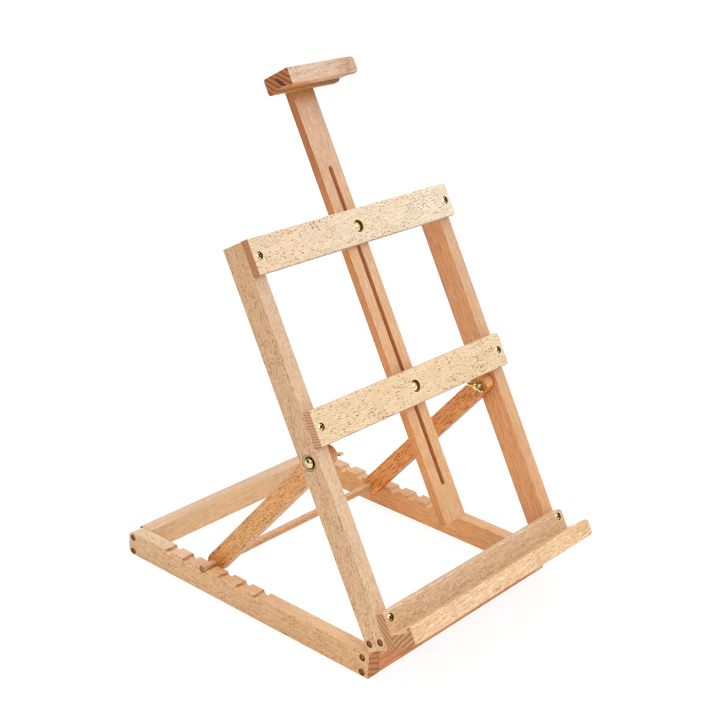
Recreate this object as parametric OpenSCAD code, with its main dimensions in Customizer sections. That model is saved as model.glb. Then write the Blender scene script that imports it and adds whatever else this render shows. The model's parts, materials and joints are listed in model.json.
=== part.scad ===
// Tabletop H-frame artist easel.
// A flat base frame carries a leaning H-frame on two butt hinges. A pair of rear legs
// joined by a dowel props the frame: the dowel drops into notches along the base's side
// rails, and each notch gives one lean. A slotted mast slides behind the two crossbars,
// clamped by two wing nuts, and carries the top canvas holder.
//
// Frame-local directions: s runs up along the posts from the hinge axis,
// d runs forward from the posts' rear faces.

/* [Overall] */
// Overall width across the side rails
easel_w = 330; // [322:1:340]
// Thickness of the rails and posts across the easel
stock_w = 18; // [17:0.5:19]
// Rounding of the long edges of the wooden pieces
edge_r = 1; // [0.6:0.1:1.5]
// Rounding of the edges at the ends of the wooden pieces
end_r = 0.6; // [0.4:0.1:0.8]

/* [Base] */
// Front-to-back length of the base
base_d = 384.5; // [382:0.5:400]
// Height of the side and front rails
rail_h = 30; // [29.5:0.5:32]
// Height of the rear rail, a little lower so that the folding legs pass over it
rear_rail_h = 29.5; // [28:0.5:29.5]
// Corner radius at the rear ends of the side rails
nose_r = 8; // [3:1:9]

/* [Notches] */
// Number of notches in each side rail
notch_count = 6; // [3:1:7]
// Distance between neighbouring notches
notch_pitch = 29.2; // [28:0.2:31]
// Distance from the base's front face to the rearmost notch
notch_last_y = 313.3; // [308:0.5:316]
// Radius of each notch
notch_r = 5.3; // [5.3:0.1:5.8]
// Rounding of each notch's front edge
notch_lead_r = 2.5; // [1:0.5:3]
// Rounding of the top of each notch's stop wall
notch_wall_r = 0.8; // [0.4:0.2:1.2]
// Notch that the dowel rests in, counted from the rear
rest_notch = 3; // [1:1:3]

/* [Posts] */
// Front-to-back depth of the posts
post_d = 30.5; // [30:0.5:32]
// Distance along the posts from the hinge axis to the top of the upper bar
post_l = 455; // [450:1:470]
// Height of the hinge axis over the side rails
hinge_gap = 0.6; // [0.4:0.1:1]

/* [Crossbars and tray] */
// Height of the crossbars
bar_h = 40; // [38:1:42]
// Thickness of the crossbars
bar_t = 10.7; // [10:0.1:12]
// Distance along the posts to the lower bar's lower edge
lower_bar_s = 226.5; // [225:0.5:240]
// Corner radius at the bars' rounded ends
bar_nose_r = 4; // [1:1:6]
// Distance along the posts to the tray's lower front edge
tray_s1 = 4.5; // [4:0.5:8]
// Thickness of the tray's back plate
tray_back = 12; // [11:0.5:13]
// Overall front-to-back depth of the tray
tray_d = 43; // [40:1:46]
// Distance along the posts to the tray's groove floor
tray_floor_s = 18.3; // [17:0.1:20]
// Distance along the posts to the top of the tray's back plate
tray_back_s = 42.5; // [41.5:0.5:45]
// Distance along the posts to the top of the tray's front lip
tray_lip_s = 24; // [23:0.5:26]
// How far the tray's floor and lip stand out past its back plate on the right
lip_over = 3; // [0:0.5:3]
// Corner radius at the tray's right-hand end
tray_nose_r = 5; // [1:1:6]

/* [Mast and top holder] */
// Width of the mast
mast_w = 35.6; // [34:0.2:40]
// Thickness of the mast
mast_t = 10.7; // [10:0.1:11]
// Distance along the posts to the mast's lower end
mast_s0 = 89; // [89:1:110]
// Length of the mast
mast_l = 527.5; // [522:0.5:545]
// Width of the mast's slot
slot_w = 6; // [5.6:0.1:7]
// Width of the top canvas holder
holder_w = 106.8; // [96:0.2:130]
// Front-to-back depth of the top canvas holder
holder_d = 40; // [38:0.5:44]
// Height of the top canvas holder
holder_h = 19.5; // [18:0.5:22]
// Corner radius at the top canvas holder's right-hand end
holder_nose_r = 6; // [1:1:7]

/* [Legs] */
// Distance between a leg's pivot and the dowel
leg_pitch = 252.2; // [251.8:0.1:252.6]
// Width of the legs
leg_w = 23; // [20:0.5:23]
// Thickness of the legs
leg_t = 14; // [12:0.5:15]
// Distance along the posts to the legs' pivot
pivot_s = 214; // [213:0.5:215]
// Distance of the legs' pivot from the posts' rear faces
pivot_d = 13.8; // [13.6:0.1:13.9]
// Diameter of the dowel
dowel_dia = 10; // [9.6:0.1:10]
// How far the dowel's ends stand out of the side rails
dowel_over = 1.4; // [0:0.1:2.5]

/* [Hardware] */
// Diameter of the clamp and pivot bolts
bolt_dia = 5; // [4.8:0.1:5]
// Diameter of the joint pegs at the frames' corners
peg_dia = 8.5; // [6:0.5:9]
// Distance of each hinge from the easel's middle
hinge_x = 84; // [70:1:100]
// Length of each hinge
hinge_l = 38; // [32:1:46]
// Direction of the left pivot nut's wings round its bolt
nut_turn_left = 60; // [0:1:180]
// Direction of the right pivot nut's wings round its bolt
nut_turn_right = 52; // [-90:1:90]
// Direction of the clamp nuts' wings round their bolts
nut_turn_clamp = 20; // [0:1:180]

/* [Hidden] */
$fn = 96;

side_x = easel_w / 2;           // outer face of the side rails and posts
in_x = side_x - stock_w;        // their inner face
gap = 0.3;                      // clearance between pieces that move past each other
hinge_z = rail_h + hinge_gap;
bar_f = post_d + bar_t;         // front face of the bars
upper_bar_s = post_l - bar_h;
post_s0 = 3;                    // lower ends of the posts and of the frame's bottom rail
post_s1 = post_l - 0.4;         // their tops, just under the upper bar's top
bottom_s0 = post_s0;
peg_s = bottom_s0 + stock_w / 2;
screw_x = side_x - stock_w / 2;

// lean of the frame, from the triangle of hinge axis, leg pivot and dowel
dowel_y = notch_last_y - (rest_notch - 1) * notch_pitch;
dowel_z = rail_h;
dowel_l = easel_w + 2 * dowel_over;
pivot_r = norm([pivot_s, pivot_d]);
span = norm([dowel_y, dowel_z - hinge_z]);
lean = atan2(dowel_y, dowel_z - hinge_z)
     - acos((pivot_r * pivot_r + span * span - leg_pitch * leg_pitch) / (2 * pivot_r * span))
     + atan2(pivot_d, pivot_s);
pivot_y = pivot_s * sin(lean) - pivot_d * cos(lean);
pivot_z = hinge_z + pivot_s * cos(lean) + pivot_d * sin(lean);
leg_dir = atan2(dowel_z - pivot_z, dowel_y - pivot_y);

// the tray's bottom rises towards its lip, whose rounded lower edge is the foremost point
tray_f = post_d + tray_d;
tray_s0 = 3.2;
tray_rise = atan2(tray_s1 - tray_s0, tray_d);
lip_d = tray_f - edge_r;
lip_s = tray_s1 - edge_r * tan(tray_rise) + edge_r / cos(tray_rise);
front_y = lip_s * sin(lean) - lip_d * cos(lean) - edge_r;
mid_y = (front_y + base_d) / 2; // the origin is midway from there to the rear rail

mast_f = post_d - gap;          // front face of the mast
mast_r = mast_f - mast_t;       // rear face of the mast
holder_s = mast_s0 + mast_l - holder_h;
bolt_r = bolt_dia / 2;
hole_r = bolt_r + 0.1;
washer_t = 1;
leg_x1 = in_x - gap;            // outer face of the legs
leg_x0 = leg_x1 - leg_t;        // inner face of the legs
nut_h = 5.5;
head_flat = 3.4;                // height of the pivot bolts' heads up to their domes
head_dome = 2.6;                // height of the domes
pivot_seat = 3;                 // depth of the pivot bolts' counterbores
clamp_seat = 3.8;               // depth of the clamp bolts' counterbores
screw_seat = 1.2;               // depth of the wood screws' counterbores
upper_bolt_s = upper_bar_s + bar_h / 2;
lower_bolt_s = lower_bar_s + bar_h / 2;
knuckle_r = 2.3;
leaf_t = 1.2;

WOOD_PALE = [0.93, 0.80, 0.62];
WOOD_TAN = [0.84, 0.68, 0.50];
WOOD_ORANGE = [0.80, 0.58, 0.37];
ZINC = [0.80, 0.72, 0.50];
STEEL = [0.72, 0.70, 0.66];

// ---------- placing ----------

module on_base() translate([0, -mid_y, 0]) children();
module on_frame() translate([0, -mid_y, hinge_z]) rotate([-lean, 0, 0]) children();

// a shape drawn in (y, z), extruded from x0 to x1
module yz(x0, x1) translate([x0, 0, 0]) rotate([90, 0, 90]) linear_extrude(x1 - x0) children();
// a shape drawn in (d, s), extruded from x0 to x1
module ds(x0, x1) mirror([0, 1, 0]) yz(x0, x1) children();
// a box between two corners given as x, d and s
module beam(x0, x1, d0, d1, s0, s1) translate([x0, -d1, s0]) cube([x1 - x0, d1 - d0, s1 - s0]);

// a rectangle with rounded corners
module soft_rect(w, h, r) {
  translate([r, 0]) square([w - 2 * r, h]);
  translate([0, r]) square([w, h - 2 * r]);
  for (x = [r, w - r], y = [r, h - r]) translate([x, y]) circle(r, $fn = 48);
}
// a box whose edges parallel to x, y and z are rounded by r[0], r[1] and r[2]
module soft_box(size, r) intersection() {
  linear_extrude(size[2]) soft_rect(size[0], size[1], r[2]);
  translate([0, size[1], 0]) rotate([90, 0, 0]) linear_extrude(size[1]) soft_rect(size[0], size[2], r[1]);
  rotate([90, 0, 90]) linear_extrude(size[0]) soft_rect(size[1], size[2], r[0]);
}
module soft_beam(x0, x1, d0, d1, s0, s1, r) translate([x0, -d1, s0]) soft_box([x1 - x0, d1 - d0, s1 - s0], r);
// a disc standing on z = 0 with rounded rims
module soft_disc(radius, h, r) rotate_extrude() {
  square([radius - r, h]);
  translate([0, r]) square([radius, h - 2 * r]);
  for (z = [r, h - r]) translate([radius - r, z]) circle(r, $fn = 48);
}
// a spherical cap standing on z = 0
module dome(r, h) {
  ball_r = (r * r + h * h) / (2 * h);
  intersection() {
    translate([0, 0, h - ball_r]) sphere(ball_r);
    cylinder(h = h, r = r);
  }
}
module x_cyl(x0, x1, y, z, r) translate([x0, y, z]) rotate([0, 90, 0]) cylinder(h = x1 - x0, r = r);
module d_cyl(x, s, d0, d1, r) translate([x, -d0, s]) rotate([90, 0, 0]) cylinder(h = d1 - d0, r = r);
module both_sides() { children(); mirror([1, 0, 0]) children(); }

// what is cut off a convex corner at the origin to round it; the solid lies at -x, -y
module corner_off(r) difference() {
  translate([-r, -r]) square(r + 1);
  translate([-r, -r]) circle(r);
}

// ---------- base ----------

// the rounding between a notch and the rail's top, on the notch's -x side
module notch_edge(r) {
  a = sqrt((notch_r + r) * (notch_r + r) - r * r);
  k = notch_r / (notch_r + r);
  difference() {
    polygon([[-a, 1], [-notch_r * 0.7, 1], [-a * k, -r * k], [-a, -r]]);
    translate([-a, -r]) circle(r);
  }
}

module notch() {
  circle(notch_r);
  translate([-notch_r, 0]) square([2 * notch_r, 1]);
  notch_edge(notch_lead_r);
  mirror([1, 0]) notch_edge(notch_wall_r);
}

module side_rail_profile() difference() {
  square([base_d, rail_h]);
  translate([base_d, rail_h]) corner_off(nose_r);
  translate([base_d, 0]) mirror([0, 1]) corner_off(nose_r);
  translate([0, rail_h]) mirror([1, 0]) corner_off(end_r);
  mirror([1, 0]) mirror([0, 1]) corner_off(end_r);
  for (i = [0 : notch_count - 1]) translate([notch_last_y - i * notch_pitch, rail_h]) notch();
}

peg_y = [stock_w / 2, base_d - 7.5];
peg_z = [5.2, 23.2];

// one corner's pegs: holes when grow is above zero
module base_peg_set(grow) for (y = peg_y, z = peg_z)
  x_cyl(in_x - 20 - 10 * grow, side_x - 1.4 + 80 * grow, y, z, peg_dia / 2 + grow);

module side_rail() difference() {
  intersection() {
    yz(in_x, side_x) side_rail_profile();
    translate([in_x, 0, 0]) linear_extrude(rail_h) soft_rect(stock_w, base_d, end_r);
    translate([in_x, base_d, 0]) rotate([90, 0, 0]) linear_extrude(base_d) soft_rect(stock_w, rail_h, edge_r);
  }
  base_peg_set(0.02);
}

// the hinges' straps, screws and barrels, at each hinge's middle
module at_hinges() for (x = [-hinge_x, hinge_x]) translate([x, 0, 0]) children();

screw_off = hinge_l / 2 - 7;
leaf_l = 15;                    // how far the hinges' leaves reach from their axis
leaf_low = hinge_z - leaf_l;
leaf_screw_l = leaf_l - 5;      // distance of the leaves' screws from that axis
knuckle_l = (hinge_l - 2 * gap) / 3;

module base_rail_left() color(WOOD_TAN) on_base() mirror([1, 0, 0]) side_rail();
module base_rail_right() color(WOOD_TAN) on_base() side_rail();

module base_rail_front() color(WOOD_ORANGE) on_base() difference() {
  translate([-in_x, 0, 0]) soft_box([2 * in_x, stock_w, rail_h], [edge_r, 0.2, 0.2]);
  both_sides() base_peg_set(0.02);
  at_hinges() {
    x_cyl(-hinge_l / 2 - 1.6, hinge_l / 2 + 1.6, 0, hinge_z, knuckle_r + 0.4);
    for (x = [-screw_off, screw_off])
      translate([x, -1, hinge_z - leaf_screw_l]) rotate([-90, 0, 0]) cylinder(h = 12.5, r = 1.27);
  }
}

module base_rail_rear() color(WOOD_TAN) on_base() difference() {
  translate([-in_x, base_d - stock_w, 0]) soft_box([2 * in_x, stock_w, rear_rail_h], [edge_r, 0.2, 0.2]);
  both_sides() base_peg_set(0.02);
}

module base_pegs() color([0.55, 0.37, 0.22]) on_base() both_sides() base_peg_set(0);

// ---------- hinges ----------

module barrel(x0, x1) difference() {
  x_cyl(x0, x1, 0, 0, knuckle_r);
  x_cyl(x0 - 1, x1 + 1, 0, 0, 1.2);
}

module hinge_base_leaves() color(ZINC) on_base() at_hinges() difference() {
  union() {
    translate([0, 0, hinge_z]) {
      barrel(-hinge_l / 2, -hinge_l / 2 + knuckle_l);
      barrel(hinge_l / 2 - knuckle_l, hinge_l / 2);
    }
    difference() {
      translate([-hinge_l / 2, -leaf_t, leaf_low]) cube([hinge_l, leaf_t, hinge_z - leaf_low]);
      x_cyl(-hinge_l / 2 - 1, hinge_l / 2 + 1, 0, hinge_z, knuckle_r - 0.4);
      translate([-hinge_l / 2 + knuckle_l, -leaf_t - 1, hinge_z - knuckle_r - 0.4])
        cube([knuckle_l + 2 * gap, leaf_t + 2, 10]);
    }
  }
  for (x = [-screw_off, screw_off])
    translate([x, -5, hinge_z - leaf_screw_l]) rotate([-90, 0, 0]) cylinder(h = 10, r = 1.5);
}

module hinge_pins() color(STEEL) on_base() at_hinges() {
  x_cyl(-hinge_l / 2 - 0.1, hinge_l / 2 + 0.1, 0, hinge_z, 1.15);
  for (x = [-hinge_l / 2 - 0.9, hinge_l / 2]) x_cyl(x, x + 0.9, 0, hinge_z, 2);
}

// pan-head screw along +z from its seat, head below
module leaf_screw() {
  cylinder(h = 11, r = 1.25);
  difference() {
    translate([0, 0, -1.2]) cylinder(h = 1.2, r1 = 1.9, r2 = 2.5);
    for (a = [0, 90]) rotate([0, 0, a]) translate([-1.3, -0.3, -1.5]) cube([2.6, 0.6, 1]);
  }
}

module hinge_base_screws() color(ZINC) on_base() at_hinges()
  for (x = [-screw_off, screw_off]) translate([x, -leaf_t, hinge_z - leaf_screw_l]) rotate([-90, 0, 0]) leaf_screw();

module hinge_frame_leaves() color(ZINC) on_frame() at_hinges() difference() {
  union() {
    barrel(-knuckle_l / 2, knuckle_l / 2);
    difference() {
      union() {
        beam(-hinge_l / 2, hinge_l / 2, knuckle_r + 0.4, leaf_l, bottom_s0 - leaf_t, bottom_s0);
        beam(-knuckle_l / 2, knuckle_l / 2, 0, 4, bottom_s0 - leaf_t, knuckle_r);
      }
      x_cyl(-hinge_l, hinge_l, 0, 0, knuckle_r - 0.4);
    }
  }
  for (x = [-screw_off, screw_off]) translate([x, -leaf_screw_l, -5]) cylinder(h = 10, r = 1.5);
}

module hinge_frame_screws() color(ZINC) on_frame() at_hinges()
  for (x = [-screw_off, screw_off]) translate([x, -leaf_screw_l, bottom_s0 - leaf_t]) leaf_screw();

// ---------- leaning frame ----------

// oval-head cross-recess screw along -d, sunk in its counterbore: the wood's face is at d = 0
module wood_screw(grow = 0) {
  d_cyl(0, 0, -28.5 - 25 * grow, -screw_seat - 1.8, 2 + grow);
  difference() {
    union() {
      translate([0, screw_seat + 2.2, 0]) rotate([90, 0, 0]) cylinder(h = 2.2, r1 = 2 + grow, r2 = 4.1 + grow);
      if (grow == 0) translate([0, screw_seat, 0]) rotate([90, 0, 0]) dome(3.9, 0.9);
    }
    if (grow == 0) for (a = [38, 128]) rotate([0, a, 0]) translate([-2.5, -1, -0.6]) cube([5, screw_seat + 2.2, 1.2]);
  }
  if (grow > 0) d_cyl(0, 0, -screw_seat - 0.01, 2, 4.6);
}

// where each wood screw's seat is: s, and the face's d
screw_at = [
  [upper_bar_s + bar_h / 2, bar_f], [lower_bar_s + bar_h / 2, bar_f], [35, post_d + tray_back]];

module wood_screw_set(grow = 0) both_sides() for (p = screw_at)
  translate([screw_x, -p[1], p[0]]) wood_screw(grow);

module post_peg_set(grow) for (d = [6.5, post_d - 7.5])
  x_cyl(in_x - 20 - 10 * grow, side_x - 1.4 + 80 * grow, -d, peg_s, peg_dia / 2 + grow);

module post() difference() {
  soft_beam(in_x, side_x, 0, post_d, post_s0, post_s1, [end_r, end_r, edge_r]);
  x_cyl(in_x - 1, side_x + 1, -pivot_d, pivot_s, hole_r);
  x_cyl(side_x - pivot_seat, side_x + 1, -pivot_d, pivot_s, 7.4);
  translate([side_x - 1.2, -pivot_d, pivot_s]) rotate([0, 90, 0]) cylinder(h = 1.21, r1 = 7.4, r2 = 9);
  post_peg_set(0.02);
  wood_screw_set(0.02);
}

module post_left() color(WOOD_TAN) on_frame() mirror([1, 0, 0]) post();
module post_right() color(WOOD_TAN) on_frame() post();

module frame_bottom_rail() color(WOOD_TAN) on_frame() difference() {
  soft_beam(-in_x, in_x, 0, post_d - 0.5, bottom_s0, bottom_s0 + stock_w, [edge_r, 0.2, 0.2]);
  both_sides() post_peg_set(0.02);
  at_hinges() for (x = [-screw_off, screw_off]) translate([x, -leaf_screw_l, bottom_s0 - 1]) cylinder(h = 11.5, r = 1.27);
}

module post_pegs() color([0.55, 0.37, 0.22]) on_frame() both_sides() post_peg_set(0);

// a crossbar's front view, with its right-hand corners rounded
module bar_front() difference() {
  translate([-side_x, 0]) soft_rect(easel_w, bar_h, end_r);
  translate([side_x, bar_h]) corner_off(bar_nose_r);
  translate([side_x, 0]) mirror([0, 1]) corner_off(bar_nose_r);
}

module crossbar(s0) difference() {
  intersection() {
    translate([0, -post_d, s0]) rotate([90, 0, 0]) linear_extrude(bar_t) bar_front();
    soft_beam(-side_x, side_x, post_d, bar_f, s0, s0 + bar_h, [edge_r, 0.1, end_r]);
  }
  d_cyl(0, s0 + bar_h / 2, post_d - 1, bar_f + 1, hole_r);
  d_cyl(0, s0 + bar_h / 2, bar_f - clamp_seat, bar_f + 1, 7.2);
  wood_screw_set(0.02);
}

module upper_bar() color(WOOD_PALE) on_frame() crossbar(upper_bar_s);
module lower_bar() color(WOOD_PALE) on_frame() crossbar(lower_bar_s);

module tray_profile() difference() {
  polygon([
    [post_d, tray_s0], [tray_f, tray_s1], [tray_f, tray_lip_s], [tray_f - 4.6, tray_lip_s],
    [tray_f - 6, tray_floor_s], [post_d + tray_back, tray_floor_s], [post_d + tray_back, tray_back_s],
    [post_d, tray_back_s]]);
  translate([post_d + tray_back, tray_back_s]) corner_off(1.5);
  translate([post_d, tray_back_s]) mirror([1, 0]) corner_off(1.5);
  translate([tray_f, tray_lip_s]) corner_off(1.2);
  translate([tray_f - 4.6, tray_lip_s]) mirror([1, 0]) corner_off(0.6);
  difference() {
    low_s = lip_s - 3 * cos(tray_rise);
    polygon([[tray_f + 2, lip_s], [lip_d, lip_s], [lip_d + 3 * sin(tray_rise), low_s], [tray_f + 2, low_s]]);
    translate([lip_d, lip_s]) circle(edge_r);
  }
  translate([post_d, tray_s0]) mirror([1, 0]) mirror([0, 1]) corner_off(end_r);
}

// cuts the right-hand end's corner at height s, as seen from the front, from d0 to d1
module end_corner(x, s, d0, d1, r, up = true)
  translate([x, -d0, s]) rotate([90, 0, 0]) linear_extrude(d1 - d0) mirror([0, up ? 0 : 1]) corner_off(r);

module tray() color(WOOD_PALE) on_frame() difference() {
  intersection() {
    ds(-side_x, side_x + lip_over) tray_profile();
    soft_beam(-side_x, side_x + lip_over, post_d, tray_f, tray_s0 - end_r, tray_back_s, [0.1, end_r, end_r]);
  }
  if (lip_over > 0) beam(side_x, side_x + lip_over + 1, post_d - 1, post_d + tray_back, tray_s0 - 2, tray_back_s + 1);
  end_corner(side_x, tray_back_s, post_d - 1, post_d + tray_back + 1, tray_nose_r);
  end_corner(side_x + lip_over, tray_lip_s, post_d + tray_back + 2, tray_f + 1, tray_nose_r);
  translate([0, -tray_f, tray_s1]) rotate([-tray_rise, 0, 0])
    end_corner(side_x + lip_over, 0, -tray_d - 2, 2, bar_nose_r, up = false);
  wood_screw_set(0.02);
}

module wood_screws() color(ZINC) on_frame() wood_screw_set();

// ---------- bolts, washers and wing nuts ----------

// domed bolt along +z, its head's seat at z = 0 and the head below it
module bolt(l, head_r, flat_h, dome_h) {
  cylinder(h = l, r = bolt_r);
  mirror([0, 0, 1]) {
    cylinder(h = flat_h, r = head_r);
    translate([0, 0, flat_h]) dome(head_r, dome_h);
  }
}

module washer() difference() {
  cylinder(h = washer_t, r = 6.2);
  translate([0, 0, -1]) cylinder(h = washer_t + 2, r = hole_r);
}

module wing() rotate([90, 0, 0]) translate([0, 0, -1]) linear_extrude(2) union() {
  translate([8.6, 6.4]) circle(3.1);
  polygon([[2.8, 0.8], [4.9, 0.8], [11.1, 4.5], [6.9, 9], [3.2, 5.2]]);
}

// wing nut, its bearing face at z = 0
module wing_nut() difference() {
  union() {
    cylinder(h = nut_h, r1 = 5.1, r2 = 4.1);
    wing();
    rotate([0, 0, 180]) wing();
  }
  translate([0, 0, -1]) cylinder(h = nut_h + 2, r = bolt_r + 0.05);
}

// clamp hardware: axes along -d, at the crossbars' middles
module at_clamp(s, d) translate([0, -d, s]) rotate([-90, 0, 0]) children();

module clamp_bolts() color(ZINC) on_frame()
  for (s = [upper_bolt_s, lower_bolt_s]) at_clamp(s, bar_f - clamp_seat) bolt(bar_f - clamp_seat - 10, 6.2, 0.8, 2.6);

// pivot hardware: axes along x towards the easel's middle
module at_pivot(x) translate([x, -pivot_d, pivot_s]) rotate([0, -90, 0]) children();

module pivot_bolts() color(ZINC) on_frame() both_sides()
  at_pivot(side_x - pivot_seat) bolt(side_x - pivot_seat - (leg_x0 - 8.6), 5.7, head_flat, head_dome);

module washers() color(STEEL) on_frame() {
  both_sides() at_pivot(leg_x0 - gap) washer();
  for (s = [upper_bolt_s, lower_bolt_s]) at_clamp(s, mast_r - gap) washer();
}

module pivot_nut(turn) at_pivot(leg_x0 - gap - washer_t - 0.1) rotate([0, 0, turn]) wing_nut();
module clamp_nut(s) at_clamp(s, mast_r - gap - washer_t - 0.1) rotate([0, 0, nut_turn_clamp]) wing_nut();

module pivot_nut_left() color(ZINC) on_frame() mirror([1, 0, 0]) pivot_nut(nut_turn_left);
module pivot_nut_right() color(ZINC) on_frame() pivot_nut(nut_turn_right);
module clamp_nut_upper() color(ZINC) on_frame() clamp_nut(upper_bolt_s);
module clamp_nut_lower() color(ZINC) on_frame() clamp_nut(lower_bolt_s);

// ---------- mast and holder ----------

// the holder's screws come from behind, through the mast
module holder_screw_set(grow = 0) for (x = [-10, 10])
  translate([x, -mast_r, holder_s + holder_h / 2]) mirror([0, 1, 0]) wood_screw(grow);

slot_s0 = mast_s0 + 42;
slot_s1 = mast_s0 + 420;

module mast() color(WOOD_PALE) on_frame() difference() {
  soft_beam(-mast_w / 2, mast_w / 2, mast_r, mast_f, mast_s0, mast_s0 + mast_l, [end_r, end_r, edge_r]);
  beam(-slot_w / 2, slot_w / 2, mast_r - 1, mast_f + 1, slot_s0 + slot_w / 2, slot_s1 - slot_w / 2);
  for (s = [slot_s0 + slot_w / 2, slot_s1 - slot_w / 2]) d_cyl(0, s, mast_r - 1, mast_f + 1, slot_w / 2);
  holder_screw_set(0.02);
}

module holder_profile() {
  f = mast_f + holder_d;
  difference() {
    polygon([
      [mast_f, 0], [mast_f + 8.5, 0], [mast_f + 10, 1.2], [mast_f + 10.5, 3.4], [mast_f + 33.2, 2.2],
      [mast_f + 34.6, 0.2], [f, 0.2], [f, holder_h], [mast_f, holder_h]]);
    translate([f, holder_h]) corner_off(1);
    translate([f, 0.2]) mirror([0, 1]) corner_off(1.6);
    translate([mast_f, holder_h]) mirror([1, 0]) corner_off(3.6);
    translate([mast_f, 0]) mirror([1, 0]) mirror([0, 1]) corner_off(3.8);
  }
}

module top_holder() color(WOOD_PALE) on_frame() difference() {
  intersection() {
    translate([0, 0, holder_s]) ds(-holder_w / 2, holder_w / 2) holder_profile();
    soft_beam(-holder_w / 2, holder_w / 2, mast_f, mast_f + holder_d, holder_s, holder_s + holder_h, [0.1, end_r, end_r]);
  }
  end_corner(holder_w / 2, holder_s + holder_h, mast_f - 1, mast_f + holder_d + 1, holder_nose_r);
  end_corner(holder_w / 2, holder_s, mast_f - 1, mast_f + holder_d + 1, holder_nose_r, up = false);
  holder_screw_set(0.02);
}

module holder_screws() color(ZINC) on_frame() holder_screw_set();

// ---------- legs ----------

// a flat bar with round ends; the dowel end is a little shorter than a full half round
module leg_blank() translate([leg_x0, pivot_y, pivot_z]) rotate([90, 0, 90]) rotate([0, 0, leg_dir]) {
  for (x = [0, leg_pitch - 1]) translate([x, 0, 0]) soft_disc(leg_w / 2, leg_t, edge_r);
  rotate([90, 0, 90]) linear_extrude(leg_pitch - 1) translate([-leg_w / 2, 0]) soft_rect(leg_w, leg_t, edge_r);
}

module leg() difference() {
  leg_blank();
  x_cyl(leg_x0 - 1, leg_x1 + 1, pivot_y, pivot_z, hole_r);
  x_cyl(leg_x0 - 1, leg_x1 + 1, dowel_y, dowel_z, dowel_dia / 2 + 0.02);
}

module leg_left() color(WOOD_ORANGE) on_base() mirror([1, 0, 0]) leg();
module leg_right() color(WOOD_ORANGE) on_base() leg();
module ratchet_dowel() color(WOOD_TAN) on_base() translate([0, dowel_y, dowel_z]) rotate([0, 90, 0]) {
  translate([0, 0, -dowel_l / 2 + 0.7]) cylinder(h = dowel_l - 1.4, r = dowel_dia / 2);
  for (m = [0, 1]) mirror([0, 0, m]) translate([0, 0, dowel_l / 2 - 0.7])
    cylinder(h = 0.7, r1 = dowel_dia / 2, r2 = dowel_dia / 2 - 0.7);
}

base_rail_left();
base_rail_right();
base_rail_front();
base_rail_rear();
base_pegs();
hinge_base_leaves();
hinge_pins();
hinge_base_screws();
post_left();
post_right();
frame_bottom_rail();
post_pegs();
upper_bar();
lower_bar();
tray();
wood_screws();
hinge_frame_leaves();
hinge_frame_screws();
clamp_bolts();
pivot_bolts();
washers();
mast();
top_holder();
holder_screws();
leg_left();
leg_right();
ratchet_dowel();
pivot_nut_left();
pivot_nut_right();
clamp_nut_upper();
clamp_nut_lower();
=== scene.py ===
import json
import math

import bpy
from mathutils import Matrix, Vector


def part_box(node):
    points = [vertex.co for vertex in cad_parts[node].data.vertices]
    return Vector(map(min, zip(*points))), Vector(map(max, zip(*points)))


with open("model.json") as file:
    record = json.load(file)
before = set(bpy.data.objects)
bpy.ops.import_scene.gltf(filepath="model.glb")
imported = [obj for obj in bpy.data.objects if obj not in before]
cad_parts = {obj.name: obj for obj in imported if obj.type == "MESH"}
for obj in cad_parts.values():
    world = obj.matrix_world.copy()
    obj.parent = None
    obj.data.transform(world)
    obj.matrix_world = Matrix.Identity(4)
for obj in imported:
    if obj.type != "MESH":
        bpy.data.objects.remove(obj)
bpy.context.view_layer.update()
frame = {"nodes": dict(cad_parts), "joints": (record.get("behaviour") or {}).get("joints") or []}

nodes = frame["nodes"]
scene = bpy.context.scene

# ---------------------------------------------------------------- directions
# The leaning frame's own directions, taken from the mast's slide axis.
slide = next(j for j in frame["joints"] if j["name"] == "mast_slide")
S = Vector(slide["axis"]).normalized()          # up along the posts
X = Vector((1, 0, 0))
Y = Vector((0, 1, 0))
Z = Vector((0, 0, 1))
D = S.cross(X).normalized()                     # forward from the posts' rear faces
if D.y > 0:
    D = -D
hinge = next(j for j in frame["joints"] if j["name"] == "frame_tilt")
O_FRAME = Vector(hinge["pos_m"])                # origin of the frame's own directions
pivot = Vector(next(j for j in frame["joints"] if j["name"] == "legs_swing")["pos_m"])
dowel_lo, dowel_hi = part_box("ratchet_dowel")
dowel = (dowel_lo + dowel_hi) / 2
O_BASE = Vector((0, O_FRAME.y, 0))
LEG = Vector((0, dowel.y - pivot.y, dowel.z - pivot.z)).normalized()
LEGW = X.cross(LEG).normalized()

# ---------------------------------------------------------------- node helpers


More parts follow.
